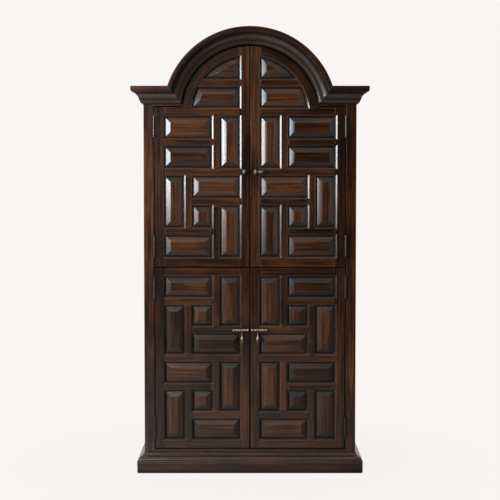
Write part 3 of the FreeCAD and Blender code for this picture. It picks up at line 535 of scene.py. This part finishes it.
PULL_BRASS = brass("pull_brass", (0.74, 0.58, 0.37), (0.44, 0.33, 0.20), (0.022, 0.016, 0.010), 0.34)
DROP_BRASS = brass("drop_brass", (0.36, 0.29, 0.21), (0.20, 0.155, 0.105), (0.022, 0.016, 0.010), 0.38)
KNOB_BRASS = brass("knob_brass", (0.27, 0.21, 0.17), (0.165, 0.127, 0.103), (0.020, 0.017, 0.014), 0.40)
LEVER_BRASS = brass("lever_brass", (0.27, 0.23, 0.195), (0.21, 0.18, 0.15), (0.020, 0.017, 0.014), 0.58)
HINGE_BRASS = brass("hinge_brass", (0.125, 0.11, 0.092), (0.058, 0.05, 0.041), (0.008, 0.007, 0.006), 0.32)

# Which way each node's boards run, and their stain
BOARDS_OF = (
    ("x", "case", "face_bottom_rail arch_header"),
    ("z", "case", "face_stile_left face_stile_right side_panels"),
    ("side", "case", "side_frame_left side_frame_right"),
    ("x", "base", "base_rail_front base_rail_back base_cap_front"),
    ("y", "base", "base_rails_side base_caps_side"),
    ("arc", "moulding", "arch_moulding"),
    ("return", "moulding", "cornice_left cornice_right"),
    ("arc", "arch", "upper_left_arch_rail upper_right_arch_rail"),
    ("x", "inner", "bottom_board counter_board shelf_upper shelves_adjustable bottle_rack"),
    ("y", "inner", "roof_shoulders stemware_rails roof_vault"),
    ("z", "inner", "back_panel_lower back_panel_upper"),
)
DOORS = ("upper_left", "upper_right", "lower_left", "lower_right")
DOOR_BOARDS = (
    ("z", "frame", "stiles"),
    ("x", "frame", "rails"),
    ("x", "panel", "panels_wide"),
    ("z", "panel", "panels_tall"),
)
METALS = (
    (PULL_BRASS, "pull_bar_left pull_bar_right"),
    (DROP_BRASS, "pendant_left pendant_right"),
    (KNOB_BRASS, "knob latch_rose latch_tongue"),
    (LEVER_BRASS, "latch_lever"),
    (HINGE_BRASS, "hinge_case_leaves hinge_pins bullet_catches shelf_pins"),
)
made = {}


def stain_for(kind):
    """The stain of a kind of board: its streaks by its lightness, its rubbed arrises by its rub, which on
    the mouldings adds a painted ridge highlight.
    """
    *streak_colours, rubbed_and_highlight = STAIN
    lightness = LIGHTNESS.get(kind, 1.0)
    rub_and_highlight = RUB_AND_RIDGE_HIGHLIGHT_GAINS.get(kind, 1.0)
    stain = [tuple(lightness * channel for channel in colour) for colour in streak_colours]
    return [*stain, tuple(rub_and_highlight * channel for channel in rubbed_and_highlight)]


def wood_for(run, kind):
    """One material for each grain direction and stain."""
    if (run, kind) not in made:
        name = kind + "_" + run
        if kind == "inner":
            made[run, kind] = wood(name, run, INNER_STAIN, INNER_ROUGHNESS, PLAIN_EASE)
        else:
            roughness = ROUGHNESS.get(kind, PLAIN_ROUGHNESS)
            ease = EASES.get(kind, PLAIN_EASE)
            made[run, kind] = wood(name, run, stain_for(kind), roughness, ease, kind == "moulding")
    return made[run, kind]


finishes = {}
for run, kind, names in BOARDS_OF:
    finishes.update((name, wood_for(run, kind)) for name in names.split())
for door in DOORS:
    finishes.update((door + "_" + piece, wood_for(run, kind)) for run, kind, piece in DOOR_BOARDS)
    finishes[door + "_hinge_leaves"] = HINGE_BRASS
for metal, names in METALS:
    finishes.update((name, metal) for name in names.split())
for seed, name in enumerate(sorted(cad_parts)):
    dress(name, finishes[name], seed)


# Screws and bolts, too small for the solids
def half_head(radius, side):
    """Half of a raised screw head, on one side of its slot."""
    half = bmesh.new()
    rings = [half.verts.new((radius * out, 0.0, radius * up)) for out, up in HEAD_SECTION]
    edges = [half.edges.new(pair) for pair in zip(rings, rings[1:])]
    bmesh.ops.spin(half, geom=rings + edges, axis=(0, 0, 1), cent=(0, 0, 0), steps=HEAD_SIDES,
                   angle=2 * math.pi)
    bmesh.ops.remove_doubles(half, verts=half.verts, dist=radius * HEAD_WELD)
    everything = half.verts[:] + half.edges[:] + half.faces[:]
    cut = bmesh.ops.bisect_plane(half, geom=everything, plane_co=(0, side * SLOT_HALF * radius, 0),
                                 plane_no=(0, side, 0), clear_inner=True)
    rim = [item for item in cut["geom_cut"] if isinstance(item, bmesh.types.BMEdge)]
    bmesh.ops.holes_fill(half, edges=rim)
    return half


def screw_head(shape, centre, out, radius, turn):
    """Raised screw head with a slot, as two halves over a flat foot; out is the way it faces."""
    facing = out.to_track_quat("Z", "Y").to_matrix().to_4x4()
    spot = Matrix.Translation(centre) @ facing @ Matrix.Rotation(turn, 4, "Z")
    for side in (1.0, -1.0):
        half = half_head(radius, side)
        bmesh.ops.transform(half, matrix=spot, verts=half.verts)
        part = bpy.data.meshes.new("half")
        half.to_mesh(part)
        half.free()
        shape.from_mesh(part)
        bpy.data.meshes.remove(part)
    foot = bmesh.ops.create_circle(shape, cap_ends=True, radius=radius * FOOT_RADIUS, segments=HEAD_SIDES,
                                   matrix=spot)
    bmesh.ops.translate(shape, verts=foot["verts"], vec=out * radius * FOOT_RISE)


def screws(name, body, heads):
    """One mesh of screw heads that moves with a body; each head is a place, a way and a radius."""
    shape = bmesh.new()
    for count, (centre, out, radius) in enumerate(heads):
        screw_head(shape, Vector(centre), Vector(out), radius, SLOT_TURN * count)
    bmesh.ops.recalc_face_normals(shape, faces=shape.faces)
    mesh = bpy.data.meshes.new(name)
    shape.to_mesh(mesh)
    shape.free()
    mesh.materials.append(HINGE_BRASS)
    piece = bpy.data.objects.new(name, mesh)
    bpy.context.scene.collection.objects.link(piece)
    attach(piece, body)


def leaf_heads(door, x, out):
    """Three screws in each of a door's two hinges, on the leaves that face one way."""
    low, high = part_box(door + "_hinge_leaves")
    heights = (low[2] + HINGE_LENGTH / 2.0, high[2] - HINGE_LENGTH / 2.0)
    steps = (-HINGE_SCREW_SPACING, 0.0, HINGE_SCREW_SPACING)
    way = (out, 0.0, 0.0)
    return [((x, HINGE_SCREW_Y, z + step), way, SCREW_RADIUS) for z in heights for step in steps]


def bolt_heads(node, spacing):
    """Bolts through the door behind a fitting, on its middle or on either side of it."""
    low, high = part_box(node)
    x = (low[0] + high[0]) / 2.0
    z = (low[2] + high[2]) / 2.0
    way = (0.0, 1.0, 0.0)
    steps = sorted({-spacing / 2.0, spacing / 2.0})
    return [((x + step, DOOR_BACK_Y, z), way, BOLT_RADIUS) for step in steps]


case_heads = []
for door in DOORS:
    left = door.endswith("left")
    way = 1.0 if left else -1.0
    door_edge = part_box(door + "_stiles")[0 if left else 1][0]
    case_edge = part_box("face_stile_left")[1][0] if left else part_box("face_stile_right")[0][0]
    case_heads += leaf_heads(door, case_edge, way)
    heads = leaf_heads(door, door_edge, -way)
    if door.startswith("lower"):
        heads += bolt_heads("pull_bar_left" if left else "pull_bar_right", PULL_POST_SPACING)
    elif left:
        heads += bolt_heads("knob", 0.0)
    screws(door + "_screws", door + "_door", heads)
screws("case_screws", "case", case_heads)


# Floor, paper and lights
def ray_kinds(graph):
    """1 for a ray from the camera or through glass, and 1 for a ray in gloss; else both are 0."""
    path = graph.add("LightPath")
    seen = graph.math("MAXIMUM", path.outputs["Is Camera Ray"], path.outputs["Is Transmission Ray"])
    return seen, path.outputs["Is Glossy Ray"]


def paper_floor():
    """Paper to the camera, with the object's shadow; in gloss it fades with distance and to the right."""
    graph = Graph(bpy.data.materials.new("paper_floor"))
    x, y, z = graph.place()
    away = graph.length(x, y)
    seen, mirrored = ray_kinds(graph)
    fading = graph.span(away, *FLOOR_GLOSS_BY_RANGE)
    fading = graph.times(fading, graph.span(x, *FLOOR_GLOSS_BY_SIDE))
    level = graph.plus(seen, graph.times(mirrored, fading))
    spread = graph.minus(1.0, graph.math("MAXIMUM", seen, mirrored))
    level = graph.plus(level, graph.times(spread, FLOOR_GLOW))
    shadow = graph.times(graph.span(away, *SHADOW_BY_RANGE), seen)
    blend = graph.add("MixShader", Fac=shadow)
    graph.put(blend.inputs[1], graph.add("Emission", Color=PAPER, Strength=level).outputs[0])
    graph.put(blend.inputs[2], graph.add("BsdfDiffuse", Color=PAPER).outputs[0])
    return graph.shown(blend.outputs[0])


def floor():
    """A wide disc of paper just under the object."""
    mesh = bpy.data.meshes.new("floor")
    shape = bmesh.new()
    bmesh.ops.create_circle(shape, cap_ends=True, radius=FLOOR_RADIUS, segments=FLOOR_SIDES)
    shape.to_mesh(mesh)
    shape.free()
    piece = bpy.data.objects.new("floor", mesh)
    piece.location = (0.0, 0.0, -FLOOR_DROP)
    bpy.context.scene.collection.objects.link(piece)
    mesh.materials.append(paper_floor())


def surround():
    """Paper to the camera everywhere; in gloss, paper behind the object and a dim studio before it."""
    graph = Graph(bpy.data.worlds.new("studio"))
    x, y, z = graph.place("Generated")
    stops = [((toward + 1.0) / 2.0, [level * channel for channel in PAPER[:3]]) for toward, level in ROOM]
    room = graph.ramp(graph.span(y, -1.0, 1.0), stops)
    corner = graph.times(graph.span(x, *GLOW_BY_FAR_LEFT), graph.span(z, *GLOW_BY_HEIGHT))
    share = graph.plus(graph.span(x, *GLOW_BY_LEFT), corner)
    share = graph.times(share, graph.span(y, *GLOW_BY_FRONT))
    room = graph.mix(share, room, LEFT_GLOW, "ADD")
    seen, mirrored = ray_kinds(graph)
    colour = graph.mix(mirrored, (AMBIENT, AMBIENT, AMBIENT, 1.0), room)
    colour = graph.mix(seen, colour, PAPER)
    light = graph.add("Background", Color=colour)
    bpy.context.scene.world = graph.shown(light.outputs[0], "OutputWorld")


def lamp(name, place, aim, size, radiance, colour=(1.0, 1.0, 1.0)):
    """A soft box of that width and height, at place, facing aim, of that radiance."""
    data = bpy.data.lights.new(name, "AREA")
    data.shape = "RECTANGLE"
    data.size, data.size_y = size
    data.energy = radiance * math.pi * size[0] * size[1]
    data.color = colour
    piece = bpy.data.objects.new(name, data)
    piece.location = place
    piece.rotation_euler = (Vector(aim) - Vector(place)).to_track_quat("-Z", "Y").to_euler()
    bpy.context.scene.collection.objects.link(piece)


floor()
surround()
lamp("window_box", (-4.66, -3.57, 1.95), (0.0, FACE_Y, 1.65), (1.7, 1.30), 22.0, DAYLIGHT)
lamp("high_box", (-2.0, -4.35, 3.5), (0.0, FACE_Y, 1.5), (1.4, 1.4), 16.0, DAYLIGHT)
lamp("near_box", (-1.93, -0.99, 2.00), (-0.35, FACE_Y, 1.75), (0.7, 1.10), 4.0, DAYLIGHT)
lamp("side_fill", (3.3, 1.1, 2.1), (0.4, 0.2, 1.1), (1.8, 2.2), 2.2)
lamp("back_fill", (-0.6, 3.8, 2.6), (0.0, 0.2, 1.1), (2.2, 2.2), 3.0)

camera_data = bpy.data.cameras.new("camera")
camera_data.lens = LENS
camera_data.sensor_width = SENSOR_WIDTH
camera = bpy.data.objects.new("camera", camera_data)
reach = CAMERA_RANGE * math.cos(CAMERA_PITCH)
camera.location = (0.0, FACE_Y - reach, CAMERA_AIM_Z + CAMERA_RANGE * math.sin(CAMERA_PITCH))
camera.rotation_euler = (math.pi / 2.0 - CAMERA_PITCH, 0.0, 0.0)
bpy.context.scene.collection.objects.link(camera)
bpy.context.scene.camera = camera
bpy.context.scene.view_settings.view_transform = "Standard"
